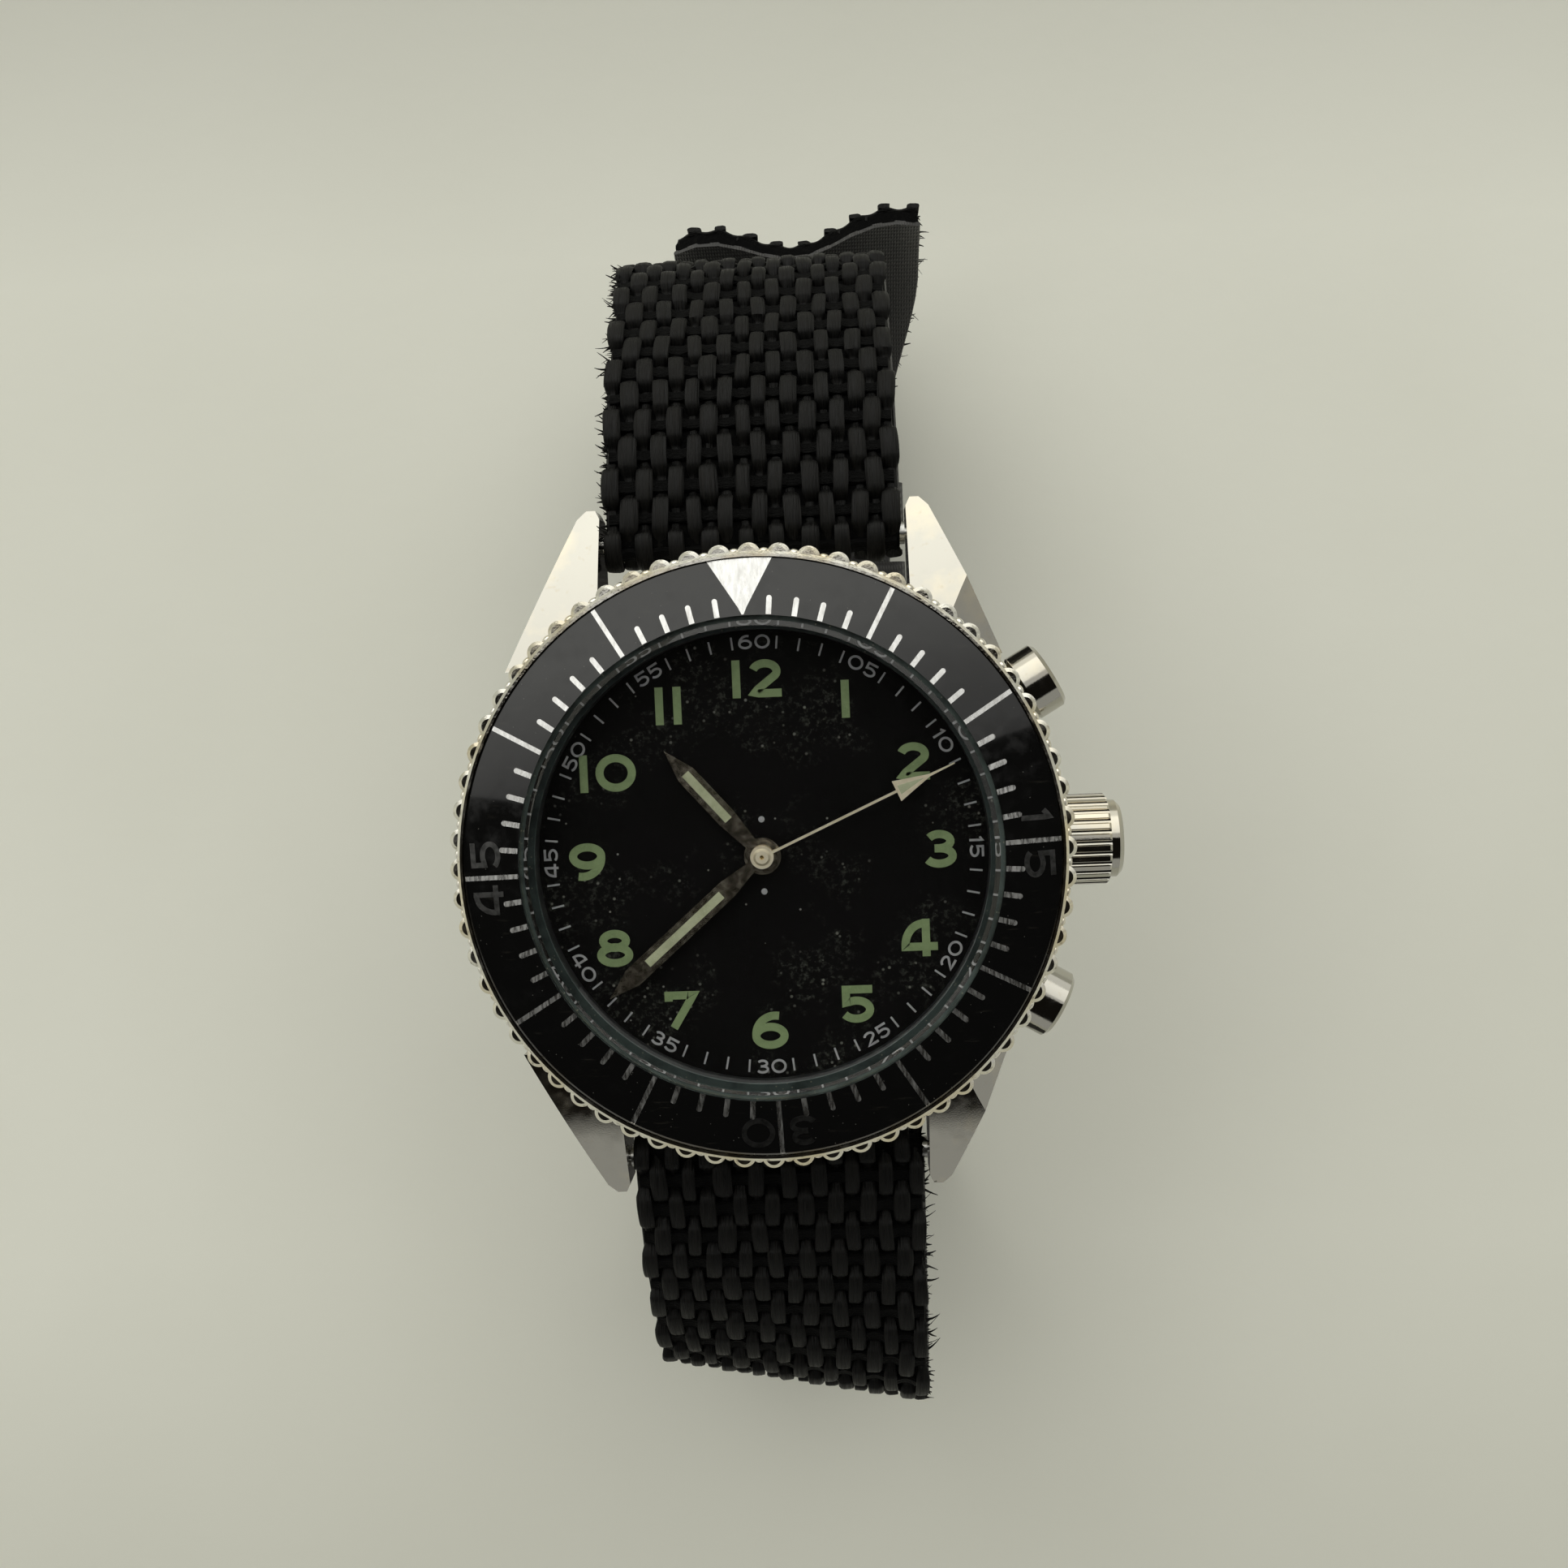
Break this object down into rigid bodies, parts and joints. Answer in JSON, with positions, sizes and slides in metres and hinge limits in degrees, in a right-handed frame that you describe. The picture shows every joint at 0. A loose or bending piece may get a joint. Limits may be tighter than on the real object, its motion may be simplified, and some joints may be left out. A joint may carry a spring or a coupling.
{
  "type": "wrist watch",
  "caption": "Wrist watch with a turning timing bezel, three centre hands, crown, two pushers and a woven two-piece strap with pin buckle.",
  "frame": {"origin": "on the hands' axis at the outer face of the case back", "axes": "+Z out of the dial, +Y towards 12 o'clock, +X towards the crown at 3 o'clock"},
  "size_m": [0.0434, 0.0915, 0.0454],
  "materials": {
    "polished_chrome": "polished",
    "steel": "satin",
    "seal_rubber": "matt",
    "pale_plastic": "satin",
    "glass": "polished",
    "black_gloss": "glossy",
    "matt_black": "matt",
    "dark_flange": "satin",
    "hand_metal": "polished",
    "lume": "matt",
    "brass": "satin",
    "rotor_magnet": "satin",
    "copper_winding": "satin",
    "board_green": "satin",
    "strap_textile": "woven"
  },
  "bodies": {
    "case": {"case_middle": "polished_chrome", "case_back": "steel", "case_back_gasket": "seal_rubber", "crystal": "glass", "crystal_gasket": "pale_plastic", "bezel_spring": "steel", "bezel_gasket": "seal_rubber", "dial": "matt_black", "dial_flange": "dark_flange", "movement_holder": "pale_plastic", "main_plate": "brass", "train_bridge": "brass", "movement_screws": "steel", "battery": "steel", "battery_strap": "steel", "coil_core": "steel", "coil": "copper_winding", "stator": "steel", "circuit_board": "board_green", "quartz_can": "steel", "crown_tube": "steel", "pusher_tube_upper": "steel", "pusher_tube_lower": "steel", "pusher_spring_upper": "steel", "pusher_spring_lower": "steel", "spring_bar_upper": "steel", "spring_bar_lower": "steel"},
    "bezel": {"bezel_ring": "polished_chrome", "bezel_insert": "black_gloss"},
    "crown_slider": {"crown_gasket": "seal_rubber"},
    "crown": {"crown": "polished_chrome", "winding_stem": "steel"},
    "sliding_pinion": {"sliding_pinion": "steel"},
    "setting_lever": {"setting_lever": "steel"},
    "yoke": {"yoke": "steel"},
    "pusher_upper": {"pusher_upper": "polished_chrome", "pusher_clip_upper": "steel"},
    "pusher_lower": {"pusher_lower": "polished_chrome", "pusher_clip_lower": "steel"},
    "rotor": {"rotor": "rotor_magnet"},
    "fifth_wheel": {"fifth_wheel": "brass"},
    "third_wheel": {"third_wheel": "brass"},
    "seconds": {"second_wheel": "brass", "seconds_hand": "hand_metal", "seconds_hand_lume": "lume"},
    "minutes": {"centre_wheel": "brass", "minute_hand": "hand_metal", "minute_hand_lume": "lume"},
    "minute_wheel": {"minute_wheel": "brass"},
    "hours": {"hour_wheel": "brass", "hour_hand": "hand_metal", "hour_hand_lume": "lume"},
    "strap_upper": {"strap_upper": "strap_textile", "fixed_keeper": "strap_textile"},
    "buckle": {"buckle_frame": "polished_chrome", "buckle_bar": "steel"},
    "tongue": {"buckle_tongue": "polished_chrome"},
    "free_keeper": {"free_keeper": "strap_textile"},
    "strap_lower": {"strap_lower": "strap_textile"}
  },
  "joints": [
    {"name": "bezel_turn", "type": "hinge", "parent": "case", "child": "bezel", "pos_m": [0, 0, 0.008], "axis": [0, 0, 1], "continuous": true},
    {"name": "crown_pull", "type": "slide", "parent": "case", "child": "crown_slider", "axis": [1, 0, 0], "range_m": [0, 0.001]},
    {"name": "crown_turn", "type": "hinge", "parent": "crown_slider", "child": "crown", "pos_m": [0.02, 0, 0.0041], "axis": [1, 0, 0], "continuous": true},
    {"name": "pinion_shift", "type": "slide", "parent": "crown", "child": "sliding_pinion", "axis": [1, 0, 0], "range_m": [-0.0016, 0]},
    {"name": "setting_lever_turn", "type": "hinge", "parent": "case", "child": "setting_lever", "pos_m": [0.00962, 0.0022, 0.0048], "axis": [0, 0, 1], "range_deg": [0, 26.5]},
    {"name": "yoke_turn", "type": "hinge", "parent": "case", "child": "yoke", "pos_m": [0.0068, -0.0036, 0.0041], "axis": [0, 0, 1], "range_deg": [0, 12.5]},
    {"name": "pusher_upper_press", "type": "slide", "parent": "case", "child": "pusher_upper", "axis": [-0.866, -0.5, 0], "range_m": [0, 0.0008], "stiffness_N_per_m": 600, "springref_m": -0.001, "deforming": ["pusher_spring_upper"]},
    {"name": "pusher_lower_press", "type": "slide", "parent": "case", "child": "pusher_lower", "axis": [-0.866, 0.5, 0], "range_m": [0, 0.0008], "stiffness_N_per_m": 600, "springref_m": -0.001, "deforming": ["pusher_spring_lower"]},
    {"name": "seconds_turn", "type": "hinge", "parent": "case", "child": "seconds", "pos_m": [0, 0, 0.003], "axis": [0, 0, -1], "continuous": true},
    {"name": "rotor_turn", "type": "hinge", "parent": "case", "child": "rotor", "pos_m": [0.00071, -0.00528, 0.003], "axis": [0, 0, -1], "continuous": true},
    {"name": "fifth_wheel_turn", "type": "hinge", "parent": "case", "child": "fifth_wheel", "pos_m": [-0.00055, -0.0031, 0.003], "axis": [0, 0, -1], "continuous": true},
    {"name": "third_wheel_turn", "type": "hinge", "parent": "case", "child": "third_wheel", "pos_m": [-0.00053, 0.00301, 0.003], "axis": [0, 0, -1], "continuous": true},
    {"name": "minutes_turn", "type": "hinge", "parent": "case", "child": "minutes", "pos_m": [0, 0, 0.003], "axis": [0, 0, -1], "continuous": true},
    {"name": "minute_wheel_turn", "type": "hinge", "parent": "case", "child": "minute_wheel", "pos_m": [0.00191, 0.0016, 0.003], "axis": [0, 0, -1], "continuous": true},
    {"name": "hours_turn", "type": "hinge", "parent": "case", "child": "hours", "pos_m": [0, 0, 0.003], "axis": [0, 0, -1], "continuous": true},
    {"name": "strap_lower_turn", "type": "hinge", "parent": "case", "child": "strap_lower", "pos_m": [0, -0.02083, 0.0022], "axis": [-1, 0, 0], "range_deg": [0, 70]},
    {"name": "strap_upper_turn", "type": "hinge", "parent": "case", "child": "strap_upper", "pos_m": [0, 0.02083, 0.0022], "axis": [1, 0, 0], "range_deg": [0, 35]},
    {"name": "buckle_turn", "type": "hinge", "parent": "strap_upper", "child": "buckle", "pos_m": [0, 0.01203, -0.02586], "axis": [1, 0, 0], "range_deg": [-60, 20]},
    {"name": "tongue_turn", "type": "hinge", "parent": "buckle", "child": "tongue", "pos_m": [0, 0.01203, -0.02586], "axis": [1, 0, 0], "range_deg": [0, 25]},
    {"name": "free_keeper_slide", "type": "slide", "parent": "strap_upper", "child": "free_keeper", "axis": [0, 1, 0], "range_m": [-0.0022, 0.005]}
  ],
  "couplings": [
    {"joint": "pinion_shift", "follows": "crown_pull", "ratio": -1.6},
    {"joint": "setting_lever_turn", "follows": "crown_pull", "rad_per_m": 451.7},
    {"joint": "yoke_turn", "follows": "crown_pull", "rad_per_m": 207},
    {"joint": "rotor_turn", "follows": "seconds_turn", "ratio": 30},
    {"joint": "fifth_wheel_turn", "follows": "seconds_turn", "ratio": -5},
    {"joint": "third_wheel_turn", "follows": "seconds_turn", "ratio": -0.13333},
    {"joint": "minutes_turn", "follows": "seconds_turn", "ratio": 0.016667},
    {"joint": "minute_wheel_turn", "follows": "seconds_turn", "ratio": -0.0055556},
    {"joint": "hours_turn", "follows": "seconds_turn", "ratio": 0.0013889},
    {"joint": "strap_upper_turn", "follows": "strap_lower_turn", "ratio": 0.5}
  ]
}
